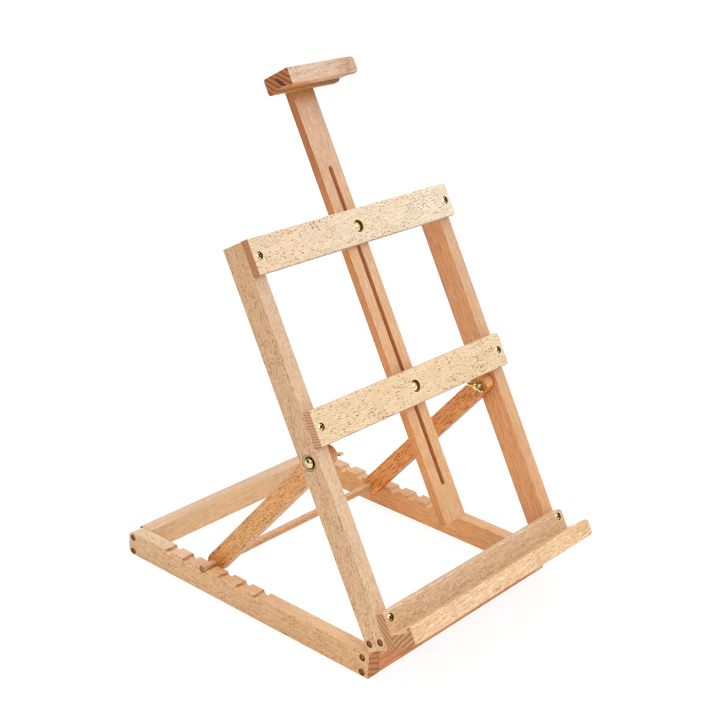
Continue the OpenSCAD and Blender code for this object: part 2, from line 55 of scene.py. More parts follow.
class Tree:
    """A small helper for writing node trees as expressions."""

    def __init__(self, mat):
        self.t = mat.node_tree
        self.n = self.t.nodes
        self.l = self.t.links

    def put(self, socket, value):
        if isinstance(value, bpy.types.NodeSocket):
            self.l.new(value, socket)
        elif value is not None:
            socket.default_value = value

    def math(self, op, a, b=None, c=None, clamp=False):
        n = self.n.new("ShaderNodeMath")
        n.operation = op
        n.use_clamp = clamp
        for i, v in enumerate((a, b, c)):
            if v is not None:
                self.put(n.inputs[i], v)
        return n.outputs[0]

    def add(self, a, b):
        return self.math("ADD", a, b)

    def mul(self, a, b):
        return self.math("MULTIPLY", a, b)

    def vec(self, op, a, b=None):
        n = self.n.new("ShaderNodeVectorMath")
        n.operation = op
        self.put(n.inputs[0], a)
        if b is not None:
            self.put(n.inputs[1], b)
        return n.outputs["Value"] if op in ("DOT_PRODUCT", "LENGTH") else n.outputs[0]

    def combine(self, x, y, z):
        n = self.n.new("ShaderNodeCombineXYZ")
        for i, v in enumerate((x, y, z)):
            self.put(n.inputs[i], v)
        return n.outputs[0]

    def noise(self, vector, scale=1.0, detail=2.0, rough=0.5, dist=0.0):
        n = self.n.new("ShaderNodeTexNoise")
        n.noise_dimensions = "3D"
        self.put(n.inputs["Vector"], vector)
        n.inputs["Scale"].default_value = scale
        n.inputs["Detail"].default_value = detail
        n.inputs["Roughness"].default_value = rough
        n.inputs["Distortion"].default_value = dist
        return n.outputs[0]

    def voronoi(self, vector, scale=1.0, rand=1.0):
        n = self.n.new("ShaderNodeTexVoronoi")
        n.feature = "F1"
        self.put(n.inputs["Vector"], vector)
        n.inputs["Scale"].default_value = scale
        n.inputs["Randomness"].default_value = rand
        return n.outputs["Distance"], n.outputs["Color"]

    def remap(self, v, a, b, c=0.0, d=1.0, smooth=True):
        n = self.n.new("ShaderNodeMapRange")
        n.interpolation_type = "SMOOTHSTEP" if smooth else "LINEAR"
        n.clamp = True
        self.put(n.inputs[0], v)
        for i, x in enumerate((a, b, c, d)):
            self.put(n.inputs[i + 1], x)
        return n.outputs[0]

    def mix(self, f, a, b, blend="MIX"):
        n = self.n.new("ShaderNodeMix")
        n.data_type = "RGBA"
        n.blend_type = blend
        n.clamp_factor = True
        self.put(n.inputs[0], f)
        for i, v in ((6, a), (7, b)):
            if isinstance(v, (tuple, list)) and len(v) == 3:
                v = (*v, 1.0)
            self.put(n.inputs[i], v)
        return n.outputs[2]


def new_material(name):
    m = bpy.data.materials.new(name)
    m.use_nodes = True
    t = Tree(m)
    bsdf = next(n for n in t.n if n.type == "BSDF_PRINCIPLED")
    return m, t, bsdf


def srgb(r, g, b):
    """Eight-bit display colour to scene linear."""
    return tuple(
        (c / 255 / 12.92) if c / 255 <= 0.04045 else ((c / 255 + 0.055) / 1.055) ** 2.4 for c in (r, g, b))


# ---------------------------------------------------------------- beech

def beech(name, along, v_axis, w_axis, origin, col_v, col_w, col_end, seed,
          pith=(400.0, 300.0), ring=2.8, slope=(0.01, -0.006), flecks=0.5, fleck=(4.6, 2.0, 0.36, 0.6),
          streak=1.0, ripple=1.0, lines=0.25, quiet=1.0, warm=None, end_rings=1.0, rings=0.35, check=None, rough=0.46, board=None,
          marks=(), underside_shade=0.0, underside_shade_tint=(0.46, 0.36, 0.28), ends=None, shaded_bores=(), joint_shadows=(), tilt=(0.0, 0.0), ringed=(), peg_shadow_crescents=(),
          cove_shade=None, cast=()):
    """Beech with its grain running along one direction of the piece.
    col_v and col_w colour the faces square to v_axis and w_axis, col_end the end grain.
    fleck is the ray flecks' pitch along and across the grain in mm, their size in that pitch, and the
    share of the places left empty; lines is the strength of the long thin ones,
    quiet the share of all this kept on the faces square to w_axis. warm is where along the piece a deeper
    finish starts and is full, and its tint. ends keeps the end grain to the piece's two ends. pits are the bores
    seen from outside: place along and across, radius, level of the face, tint of the painted shade inside. seams are
    painted shadow lines in the joints and along the bars' lower edges, ringed thin darker circles, crescents painted
    shadow round a peg's end. tilt is how far the fibres wander off the piece's length.
    board is a second, glued board: where it starts along v, its pith, and its tint."""
    m, t, bsdf = new_material(name)
    tc = t.n.new("ShaderNodeTexCoord")
    p = t.vec("SUBTRACT", tc.outputs["Object"], tuple(origin))
    u, v, w = [t.mul(t.vec("DOT_PRODUCT", p, tuple(a)), 1000.0) for a in (along, v_axis, w_axis)]
    sn = [t.vec("DOT_PRODUCT", tc.outputs["Normal"], tuple(a)) for a in (along, v_axis, w_axis)]
    nn = [t.math("ABSOLUTE", s) for s in sn]
    off = (seed * 37.7, seed * 19.3, seed * 71.9)
    second = t.math("GREATER_THAN", v, board[0]) if board else 0.0

    def at(su, sv, sw, k=0.0):
        return t.combine(t.math("MULTIPLY_ADD", u, su, off[0] + k), t.math("MULTIPLY_ADD", v, sv, off[1] + k),
                         t.math("MULTIPLY_ADD", w, sw, off[2] - k))

    # slow wander of the fibres, so that no line is ruler straight
    wander = t.add(t.noise(at(0.014, 0.02, 0.02), 1.0, 2.0, 0.5), -0.5)
    wander2 = t.add(t.noise(at(0.07, 0.10, 0.10, 5.0), 1.0, 1.0, 0.5), -0.5)
    vv = t.add(t.math("MULTIPLY_ADD", u, tilt[0], v), t.add(t.mul(wander, 3.0), t.mul(wander2, 0.7)))
    ww = t.add(t.math("MULTIPLY_ADD", u, tilt[1], w), t.add(t.mul(wander, -2.6), t.mul(wander2, 0.7)))

    # growth rings round a pith that drifts slowly along the piece
    pv, pw = pith
    if board:
        pv = t.math("MULTIPLY_ADD", second, board[1][0] - pith[0], pith[0])
        pw = t.math("MULTIPLY_ADD", second, board[1][1] - pith[1], pith[1])
    pv, pw = t.math("MULTIPLY_ADD", u, slope[0], pv), t.math("MULTIPLY_ADD", u, slope[1], pw)
    dv, dw = t.math("SUBTRACT", vv, pv), t.math("SUBTRACT", ww, pw)
    radius = t.math("SQRT", t.add(t.mul(dv, dv), t.mul(dw, dw)))
    year = t.add(t.mul(radius, 1.0 / ring), t.mul(t.noise(at(0.004, 0.05, 0.05, 9.0), 1.0, 2.0), 0.8))
    phase = t.math("FRACT", year)
    late = t.math("MULTIPLY", t.remap(phase, 0.30, 0.86), t.remap(phase, 1.0, 0.9))
    ring_id = t.noise(t.combine(t.math("FLOOR", year), 0.5, seed * 3.1), 1.7, 0.0)

    # the fibres themselves: long streaks, shorter and finer ones, and a faint ripple across
    def fibre(su, sc, k, detail=2.0, rg=0.55):
        shift = t.math("MULTIPLY_ADD", second, 17.3, off[2] + k) if board else off[2] + k
        return t.noise(t.combine(t.math("MULTIPLY_ADD", u, su, off[0] + k), t.math("MULTIPLY_ADD", vv, sc, off[1]),
                                 t.math("MULTIPLY_ADD", ww, sc, shift)), 1.0, detail, rg)

    broad = t.add(fibre(0.012, 0.22, 61.0), -0.5)
    long_fibre = t.add(fibre(0.010, 0.80, 1.0), -0.5)
    mid_fibre = t.add(fibre(0.035, 0.95, 27.0, 1.0), -0.5)
    fine_fibre = t.add(fibre(0.11, 1.3, 7.0, 1.0), -0.5)
    # the ripple leans across the grain
    lean = t.add(u, t.add(t.mul(vv, 0.9), t.mul(ww, 0.9)))
    rip = t.add(t.noise(t.combine(t.math("MULTIPLY_ADD", lean, 0.33, off[1]), t.math("MULTIPLY_ADD", vv, 0.62, off[2]),
                                  t.math("MULTIPLY_ADD", ww, 0.62, off[0])), 1.0, 1.0, 0.5), -0.5)

    # ray flecks: slim dark ellipsoids along the grain, in drifts
    def dashes(length, width, reach, lo, k):
        d, c = t.voronoi(t.combine(t.math("MULTIPLY_ADD", u, 1 / length, off[0] + k),
                                   t.math("MULTIPLY_ADD", vv, 1 / width, off[1]),
                                   t.math("MULTIPLY_ADD", ww, 1 / width, off[2] - k)))
        pick = t.vec("DOT_PRODUCT", c, (0.6, 0.6, 0.0))
        size = t.remap(pick, lo, lo + 0.3, 0.0, reach, smooth=False)
        return t.remap(t.math("SUBTRACT", size, d), 0.0, 0.10)

    drift = t.remap(t.noise(at(0.03, 0.10, 0.10, 11.0), 1.0, 2.0), 0.32, 0.58, 0.5, 1.0)
    d1 = dashes(*fleck, 3.0)
    d2 = dashes(fleck[0] * 0.5, fleck[1] * 0.62, fleck[2], fleck[3] - 0.1, 13.0)
    thin = t.mul(dashes(18.0, 1.5, 0.42, 0.30, 29.0), lines)
    dash = t.math("MAXIMUM", t.mul(t.math("MAXIMUM", d1, t.mul(d2, 0.5)), t.mul(drift, flecks)), thin)

    # colour by face, a slow stain, rings, fibres and flecks
    side = t.math("DIVIDE", nn[1], t.add(t.add(nn[1], nn[2]), 0.001))
    side = t.remap(side, 0.35, 0.65)
    base = t.mix(side, col_w, col_v)
    if board:
        base = t.mix(second, base, t.mix(1.0, base, board[2], "MULTIPLY"))
    end = t.remap(nn[0], 0.55, 0.85)
    if ends:
        tips = t.math("MAXIMUM", t.math("LESS_THAN", u, ends[0]), t.math("GREATER_THAN", u, ends[1]))
        end = t.mul(end, t.math("MULTIPLY_ADD", tips, 0.3, 0.7))
    base = t.mix(end, base, col_end)
    notend = t.mul(t.math("SUBTRACT", 1.0, end), t.math("MULTIPLY_ADD", side, 1.0 - quiet, quiet))

    if warm:
        base = t.mix(t.remap(u, warm[0], warm[1]), base, t.mix(1.0, base, warm[2], "MULTIPLY"))

    # a slow change of tone along the board, partly its own tone and partly painted shade, as at the mast's top just
    # below the holder: a face, a limit on v, and (place, tint) stops
    for (face, outside, stops) in cast:
        tone = stops[0][1]
        for (u0, _), (u1, tint) in zip(stops, stops[1:]):
            tone = t.mix(t.remap(u, u0, u1, smooth=False), tone, tint)
        on = side if face == "v" else t.math("SUBTRACT", 1.0, side)
        on = t.mul(on, t.math("SUBTRACT", 1.0, end))
        if outside is not None:
            on = t.mul(on, t.math("LESS_THAN", v, outside))
        base = t.mix(on, base, t.mix(1.0, base, tone, "MULTIPLY"))

    stain = t.noise(at(0.009, 0.07, 0.07, 21.0), 1.0, 2.0)
    shade = t.math("MULTIPLY_ADD", t.add(stain, -0.5), 0.08, 1.0)
    shade = t.mul(shade, t.math("MULTIPLY_ADD", t.mul(broad, notend), 0.10 * streak, 1.0))
    ring_strength = t.add(t.mul(notend, 0.20 * rings), t.mul(end, 0.46 * end_rings))
    shade = t.mul(shade, t.math("SUBTRACT", t.add(1.0, t.mul(ring_strength, 0.4)), t.mul(late, ring_strength)))
    shade = t.mul(shade, t.math("MULTIPLY_ADD", t.add(ring_id, -0.5), 0.07, 1.0))
    shade = t.mul(shade, t.math("MULTIPLY_ADD", t.mul(long_fibre, notend), 0.50 * streak, 1.0))
    shade = t.mul(shade, t.math("MULTIPLY_ADD", t.mul(mid_fibre, notend), 0.50 * streak, 1.0))
    shade = t.mul(shade, t.math("MULTIPLY_ADD", t.mul(fine_fibre, notend), 0.85 * streak, 1.0))
    shade = t.mul(shade, t.math("MULTIPLY_ADD", t.mul(rip, notend), 0.55 * ripple, 1.0))
    # end grain: pores as fine dark pricks
    prick = t.remap(t.noise(at(0.6, 2.2, 2.2, 31.0), 1.0, 1.0), 0.46, 0.3)
    shade = t.mul(shade, t.math("SUBTRACT", 1.0, t.mul(t.mul(prick, end), 0.3)))
    # painted highlight on the rounded edges, and painted shade on faces turned downward
    flat = t.math("MAXIMUM", nn[0], t.math("MAXIMUM", nn[1], nn[2]))
    edge_highlight = t.remap(flat, 0.985, 0.9)
    shade = t.mul(shade, t.math("MULTIPLY_ADD", edge_highlight, 0.08, 1.0))
    lit = t.mix(1.0, base, t.combine(shade, t.math("POWER", shade, 1.22), t.math("POWER", shade, 1.5)), "MULTIPLY")
    # painted shade on faces turned downward: a darker, warmer tint
    if underside_shade:
        low = t.mul(t.remap(sn[2], -0.12, -0.45), underside_shade)
        lit = t.mix(low, lit, t.mix(1.0, lit, underside_shade_tint, "MULTIPLY"))
    # painted shade in the holder's groove: forward-facing faces below given levels of v and w get a darker, warmer tint
    if cove_shade:
        recess_shade = t.mul(t.math("LESS_THAN", v, cove_shade[0]), t.mul(t.math("LESS_THAN", w, cove_shade[1]), t.remap(sn[1], 0.2, 0.5)))
        lit = t.mix(recess_shade, lit, t.mix(1.0, lit, cove_shade[2], "MULTIPLY"))
    dark = t.mix(1.0, base, (0.40, 0.20, 0.05), "MULTIPLY")
    speck = t.mul(dash, notend)
    colour = t.mix(speck, lit, dark)
    height = t.add(t.mul(fine_fibre, 0.5), t.add(t.mul(long_fibre, 0.5), t.mul(speck, -0.8)))
    height = t.add(height, t.mul(t.mul(prick, end), -0.6))

    # single ray marks and stains: place along the grain and across, half sizes, turn, strength, softness, tint
    for (mu, mw, hu, hw, turn, power, soft, tint) in marks:
        a = math.radians(turn)
        ex, ey = t.add(u, -mu), t.add(w, -mw)
        px = t.add(t.mul(ex, math.cos(a) / hu), t.mul(ey, math.sin(a) / hu))
        py = t.add(t.mul(ex, -math.sin(a) / hw), t.mul(ey, math.cos(a) / hw))
        r = t.math("SQRT", t.add(t.mul(px, px), t.mul(py, py)))
        r = t.add(r, t.mul(rip, 0.5))
        spot = t.mul(t.mul(t.remap(r, 1.0 + soft * 0.5, 1.0 - soft * 0.5), power), t.remap(sn[1], 0.5, 0.8))
        colour = t.mix(spot, colour, t.mix(1.0, colour, tint, "MULTIPLY"))

    # bores: a paler rim on the face, and painted shade darkening them inside
    for (cu, cw, radius_, face, tint) in shaded_bores:
        ex = t.math("SUBTRACT", t.math("ABSOLUTE", u) if cu > 0 and along == X else u, cu)
        ey = t.add(w, -cw)
        r = t.math("SQRT", t.add(t.mul(ex, ex), t.mul(ey, ey)))
        depth = t.math("SUBTRACT", face, t.math("ABSOLUTE", v))
        inside = t.mul(t.remap(r, radius_ + 0.4, radius_ + 0.05), t.remap(depth, 0.1, 0.3))
        rim = t.mul(t.remap(r, radius_ + 1.4, radius_ + 0.7), t.remap(depth, 0.3, 0.1))
        colour = t.mix(t.mul(rim, 0.5), colour, t.mix(1.0, base, (1.12, 1.14, 1.14), "MULTIPLY"))
        colour = t.mix(inside, colour, t.mix(1.0, colour, tint, "MULTIPLY"))
    for (cu, cw, radius_, half, tint) in ringed:
        ex, ey = t.add(u, -cu), t.add(w, -cw)
        r = t.add(t.math("SQRT", t.add(t.mul(ex, ex), t.mul(ey, ey))), -radius_)
        line = t.mul(t.remap(t.math("ABSOLUTE", r), half, half * 0.4), t.remap(nn[1], 0.5, 0.7))
        colour = t.mix(line, colour, t.mix(1.0, colour, tint, "MULTIPLY"))

    # painted shadow: a dark crescent round each peg's end from a ring set off its centre, and a fainter darker ring
    # within
    for (cv, cw, sv, sw) in peg_shadow_crescents:
        ex, ey = t.add(v, -cv), t.add(w, -cw)
        near = t.math("LESS_THAN", t.add(t.mul(ex, ex), t.mul(ey, ey)), 20.5)
        ex, ey = t.add(ex, -sv), t.add(ey, -sw)
        r = t.math("SQRT", t.add(t.mul(ex, ex), t.mul(ey, ey)))
        line = t.mul(t.mul(t.remap(r, 3.0, 4.3), near), end)
        colour = t.mix(line, colour, t.mix(1.0, colour, (0.34, 0.26, 0.20), "MULTIPLY"))
        line = t.mul(t.mul(t.remap(t.math("ABSOLUTE", t.add(r, -1.9)), 0.7, 0.2), near), t.mul(end, 0.35))
        colour = t.mix(line, colour, t.mix(1.0, colour, (0.5, 0.4, 0.32), "MULTIPLY"))

    # painted shadow lines in the joints and along the bars' lower edges: which coordinate, where, half width, strength
    for (which, value, half, power) in joint_shadows:
        line = t.math("ABSOLUTE", t.add(t.math("ABSOLUTE", (u, v, w)[which]), -value))
        line = t.mul(t.remap(line, half, half * 0.4), power)
        colour = t.mix(line, colour, t.mix(1.0, base, (0.34, 0.24, 0.17), "MULTIPLY"))

    if check:
        # a dark drying check in the end grain: centre v, w, half sizes and turn, in mm and degrees
        cv, cw, hv, hw, turn = check
        a = math.radians(turn)
        ex, ey = t.add(v, -cv), t.add(w, -cw)
        px = t.add(t.mul(ex, math.cos(a) / hv), t.mul(ey, math.sin(a) / hv))
        py = t.add(t.mul(ex, -math.sin(a) / hw), t.mul(ey, math.cos(a) / hw))
        r = t.math("SQRT", t.add(t.mul(px, px), t.mul(py, py)))
        r = t.add(r, t.mul(t.add(t.noise(at(0.3, 0.6, 0.6, 60.0), 1.0, 2.0), -0.5), 1.5))
        crack = t.mul(t.remap(r, 1.0, 0.6), end)
        colour = t.mix(t.mul(crack, 0.9), colour, srgb(52, 24, 14))
        height = t.add(height, t.mul(crack, -2.0))

    t.put(bsdf.inputs["Base Color"], colour)
    rgh = t.math("MULTIPLY_ADD", fine_fibre, 0.16, rough)
    rgh = t.add(rgh, t.mul(speck, 0.25))
    t.put(bsdf.inputs["Roughness"], t.add(rgh, t.mul(end, 0.14)))
    bsdf.inputs["Specular IOR Level"].default_value = 0.3
    bump = t.n.new("ShaderNodeBump")
    bump.inputs["Strength"].default_value = 0.35
    bump.inputs["Distance"].default_value = 0.00022
    t.put(bump.inputs["Height"], height)
    t.put(bsdf.inputs["Normal"], bump.outputs[0])
    return m


def metal(name, colour, rough, dark, grit=0.35, scale=900.0, recess_shade=()):
    """Plated steel: cloudy colour and fine scratches. deep lists the frame's wood screws: their height
    along the posts and the level below which their driving cross is painted dark as shade; a painted shadow ring
    darkens each head's rim."""
    m, t, bsdf = new_material(name)
    tc = t.n.new("ShaderNodeTexCoord")
    cloud = t.noise(tc.outputs["Object"], scale * 0.35, 3.0, 0.55)
    fine = t.noise(tc.outputs["Object"], scale * 3.0, 2.0, 0.6)
    c = t.mix(t.mul(t.remap(cloud, 0.35, 0.7), grit), colour, dark)
    if recess_shade:
        p = t.vec("SUBTRACT", tc.outputs["Object"], tuple(O_FRAME))
        x, d, s = [t.mul(t.vec("DOT_PRODUCT", p, tuple(a)), 1000.0) for a in (X, D, S)]
        ex = t.add(t.math("ABSOLUTE", x), -156.0)
    for place, level in recess_shade:
        ey = t.add(s, -place)
        r = t.math("SQRT", t.add(t.mul(ex, ex), t.mul(ey, ey)))
        arm_a = t.math("ABSOLUTE", t.add(t.mul(ex, 0.616), t.mul(ey, 0.788)))
        arm_b = t.math("ABSOLUTE", t.add(t.mul(ex, 0.788), t.mul(ey, -0.616)))
        cross = t.mul(t.remap(t.math("MINIMUM", arm_a, arm_b), 0.9, 0.6), t.remap(r, 2.7, 2.3))
        near = t.remap(r, 5.0, 4.8)
        # painted shade: the driving cross and the recess below the given level are darkened
        shaded_hollow = t.math("MAXIMUM", t.mul(cross, near), t.mul(t.remap(d, level, level - 0.2), near))
        c = t.mix(shaded_hollow, c, srgb(30, 20, 14))
        # painted shadow ring round each head's rim
        c = t.mix(t.mul(t.mul(t.remap(r, 3.3, 3.9), near), 0.7), c, srgb(112, 82, 40))
    t.put(bsdf.inputs["Base Color"], c)
    bsdf.inputs["Metallic"].default_value = 1.0
    t.put(bsdf.inputs["Roughness"], t.math("MULTIPLY_ADD", fine, 0.16, rough - 0.08))
    bump = t.n.new("ShaderNodeBump")
    bump.inputs["Strength"].default_value = 0.12
    bump.inputs["Distance"].default_value = 0.0001
    t.put(bump.inputs["Height"], fine)
    t.put(bsdf.inputs["Normal"], bump.outputs[0])
    return m


# Face colours of each wooden piece: faces square to v, faces square to w, end grain.
PAL = {
    "base_rail_left": ((190, 150, 106), (212, 173, 134), (159, 104, 63)),
    "base_rail_right": ((201, 143, 87), (210, 165, 117), (185, 149, 115)),
    "base_rail_front": ((180, 120, 75), (190, 150, 112), (170, 110, 78)),
    "base_rail_rear": ((193, 157, 115), (200, 165, 132), (170, 115, 80)),
    "post_left": ((187, 149, 110), (191, 161, 131), (180, 135, 100)),
    "post_right": ((195, 136, 86), (186, 145, 108), (180, 135, 100)),
    "frame_bottom_rail": ((196, 142, 98), (204, 155, 113), (170, 110, 78)),
    "upper_bar": ((198, 177, 151), (226, 208, 176), (156, 104, 67)),
    "lower_bar": ((199, 174, 140), (199, 176, 147), (167, 123, 86)),
    "tray": ((196, 164, 131), (201, 168, 133), (162, 114, 74)),
    "mast": ((179, 112, 57), (186, 147, 109), (176, 112, 78)),
    "top_holder": ((180, 152, 129), (174, 122, 72), (142, 80, 35)),
    "leg_left": ((193, 140, 83), (180, 139, 94), (170, 112, 67)),
    "leg_right": ((206, 136, 71), (173, 100, 35), (203, 137, 93)),
    "ratchet_dowel": ((181, 137, 92), (197, 155, 117), (140, 89, 44)),
    "base_pegs": ((150, 105, 72), (150, 105, 72), (135, 82, 41)),
    "post_pegs": ((150, 105, 72), (150, 105, 72), (134, 83, 40)),
}

LEAF = (0.42, 0.28, 0.20)
# painted shade tints for the inside of bores, here and in the bore lists below
PIT_SHADE = (0.46, 0.36, 0.30)
BORE_SHADE = (0.26, 0.19, 0.14)
ENDS = (5.0, 379.5)
PIVOT_RING = ((214.0, 13.8, 9.1, 0.75, (0.52, 0.42, 0.34)),)
RAIL_PITS = tuple((y, z, 4.25, 165.0, BORE_SHADE) for y in (9.0, 377.0) for z in (5.2, 23.2))
POST_PITS = tuple((12.0, d, 4.25, 165.0, BORE_SHADE) for d in (6.5, 23.0)) + (
    (214.0, 13.8, 7.4, 163.9, (0.22, 0.17, 0.14)),)


def bar_pits(s):
    return ((156.0, s, 4.6, 41.2, BORE_SHADE), (0.0, s, 7.2, 41.2, (0.50, 0.36, 0.24)))


# the ray marks that stand out on the upper bar's front
STROKES = (
    (-70.6, 452.6, 2.8, 0.75, -81, 0.85, 0.7, LEAF), (-69.2, 447.4, 2.6, 0.75, -68, 0.85, 0.7, LEAF),
    (-65.5, 451.8, 2.7, 0.75, -68, 0.85, 0.7, LEAF), (-62.7, 447.0, 2.9, 0.75, -52, 0.85, 0.7, LEAF),
    (-90.6, 442.9, 4.0, 0.75, -85, 0.85, 0.7, LEAF), (-148.4, 430.0, 3.9, 0.7, -85, 0.75, 0.8, LEAF)) + tuple(
    (a, b, 1.5, 0.75, 0, 0.8, 0.8, LEAF) for a, b in (
        (-133.3, 451.5), (-113.9, 450.2), (-106.3, 448.6), (-102.0, 449.5), (-94.6, 449.8), (-92.6, 431.2),
        (-99.0, 427.4), (-105.8, 419.8), (-117.7, 419.1), (-80.9, 424.5), (-66.1, 430.3), (-36.8, 452.3)))

# tone along each board, partly its own and partly painted shade: (face, limit on v, stops)
CAST = {
    "mast": (
        ("w", None, ((103, (0.99, 0.91, 0.81)), (204, (1.09, 1.01, 0.91)), (230, (1.10, 0.97, 0.88)), (290, (1.06, 1.00, 0.99)),
                    (331, (1.00, 0.99, 1.00)), (382, (1.02, 1.01, 1.08)), (407, (1.10, 1.10, 1.20)), (457, (1.05, 1.09, 1.20)),
                    (508, (0.96, 0.99, 1.07)), (559, (0.99, 1.09, 1.23)), (574, (0.94, 1.03, 1.16)), (581.4, (0.93, 0.97, 1.04)),
                    # the last two stops are painted shade just below the holder
                    (587.3, (0.81, 0.71, 0.59)), (593.2, (0.75, 0.56, 0.33)))),
        ("v", -12, ((103, (1.15, 1.30, 1.44)), (154, (1.26, 1.52, 1.92)), (204, (1.26, 1.36, 1.60)), (281, (1.26, 1.42, 1.75)),
                    (306, (1.11, 1.25, 1.64)), (357, (0.99, 1.07, 1.45)), (408, (1.08, 1.10, 1.18)), (458, (1.01, 1.08, 1.21)),
                    (484, (0.92, 0.94, 1.02)), (509, (0.74, 0.73, 0.68)), (585, (0.71, 0.67, 0.47)))),
    ),
    "leg_right": (
        ("w", None, ((10, (1.12, 1.20, 1.05)), (35, (0.96, 0.99, 0.87)), (60, (0.92, 0.91, 0.74)), (111, (0.88, 0.90, 0.75)),
                    (161, (0.84, 0.75, 0.52)), (186, (0.82, 0.75, 0.51)), (211, (1.00, 0.91, 0.64)), (237, (1.20, 1.20, 1.10)))),
    ),
    "post_left": (
        ("v", None, ((25, (1.09, 1.13, 1.17)), (66, (1.04, 1.08, 1.10)), (107, (1.01, 1.05, 1.07)), (270, (0.98, 1.00, 1.05)),
                    (351, (0.97, 0.99, 1.00)), (433, (0.97, 0.96, 0.94)))),
        ("w", None, ((64, (1.08, 1.08, 1.04)), (105, (0.98, 0.99, 0.98)), (187, (1.01, 1.03, 1.04)), (270, (1.02, 1.02, 1.03)),
                    (311, (0.96, 0.97, 0.98)), (352, (0.93, 0.93, 0.95)), (393, (0.95, 0.95, 0.97)))),
    ),
    "post_right": (
        ("v", None, ((57, (1.12, 1.15, 1.17)), (99, (1.07, 1.12, 1.15)), (183, (1.06, 1.04, 1.04)), (268, (1.01, 1.05, 1.07)),
                    (310, (0.93, 0.95, 0.98)), (352, (0.87, 0.87, 0.89)), (394, (0.91, 0.88, 0.90)))),
        ("w", None, ((64, (1.09, 1.02, 0.90)), (105, (1.03, 1.00, 0.91)), (146, (1.00, 0.98, 0.90)), (229, (1.04, 1.04, 1.02)),
                    (270, (1.01, 1.05, 1.10)), (352, (0.92, 0.97, 1.08)), (393, (0.96, 1.01, 1.11)))),
    ),
    "upper_bar": (
        ("v", None, ((-147, (0.98, 0.95, 0.90)), (-82, (1.00, 0.99, 0.98)), (-17, (1.01, 1.02, 1.02)), (49, (1.02, 1.06, 1.08)),
                    (114, (1.04, 1.10, 1.17)), (146, (1.03, 1.09, 1.15)))),
    ),
    "tray": (
        ("v", None, ((-147, (1.00, 0.98, 0.95)), (-114, (1.02, 1.03, 1.08)), (116, (1.02, 1.02, 1.03)), (149, (0.99, 0.96, 0.92)))),
        ("w", None, ((-146, (1.15, 1.15, 1.18)), (-113, (1.04, 1.06, 1.10)), (-49, (1.00, 1.02, 1.03)), (16, (0.97, 0.95, 0.91)),
                    (48, (0.99, 0.98, 0.90)), (81, (1.01, 1.05, 1.04)), (145, (1.08, 1.09, 1.11)))),
    ),
    "top_holder": (
        ("v", None, ((-44, (1.06, 1.09, 1.11)), (-15, (1.08, 1.13, 1.19)), (0, (1.05, 1.11, 1.14)), (15, (1.00, 1.01, 1.02)),
                    (29, (0.92, 0.87, 0.82)), (44, (0.89, 0.83, 0.78)))),
        ("w", None, ((-46, (1.14, 1.38, 1.58)), (-16, (1.14, 1.56, 1.86)), (0, (1.13, 1.48, 1.56)), (14, (0.83, 1.02, 0.90)),
                     (30, (0.71, 0.85, 0.84)), (45, (0.61, 0.68, 0.63)))),
    ),
    "base_rail_left": (
        ("v", None, ((20.5, (1.04, 1.02, 1.00)), (96.5, (0.99, 0.98, 0.96)), (172.5, (1.00, 1.01, 1.02)), (249.5, (1.04, 1.06, 1.10)),
                    (325.5, (1.00, 1.04, 1.11)), (363.5, (1.00, 1.04, 1.17)))),
        ("w", None, ((20.5, (1.14, 1.11, 1.03)), (58.5, (1.04, 1.04, 1.02)), (132.5, (0.93, 0.91, 0.89)), (207.5, (0.92, 0.88, 0.82)),
                    (245.5, (0.95, 0.88, 0.78)), (282.5, (0.96, 0.97, 1.03)), (319.5, (0.97, 1.06, 1.17)), (357.5, (0.96, 1.08, 1.22)))),
    ),
    "base_rail_right": (
        ("v", None, ((70.5, (1.00, 1.03, 1.08)), (148.5, (1.01, 1.05, 1.12)), (187.5, (1.02, 1.02, 1.05)), (227.5, (0.95, 0.88, 0.84)),
                    (266.5, (0.96, 0.95, 1.01)), (305.5, (0.93, 0.99, 1.01)))),
        ("w", None, ((66.5, (1.06, 1.07, 1.06)), (101.5, (1.02, 1.01, 1.01)), (173.5, (0.94, 0.92, 0.95)), (208.5, (0.92, 0.89, 0.90)),
                    (244.5, (0.98, 0.93, 0.95)), (280.5, (0.91, 0.95, 1.08)), (316.5, (0.91, 0.95, 1.08)))),
    ),
    "base_rail_rear": (
        ("w", None, ((-126, (1.04, 1.08, 1.14)), (-87, (1.01, 1.03, 1.08)), (-9, (0.97, 0.96, 0.96)), (108, (0.98, 1.01, 1.05)))),
    ),
}

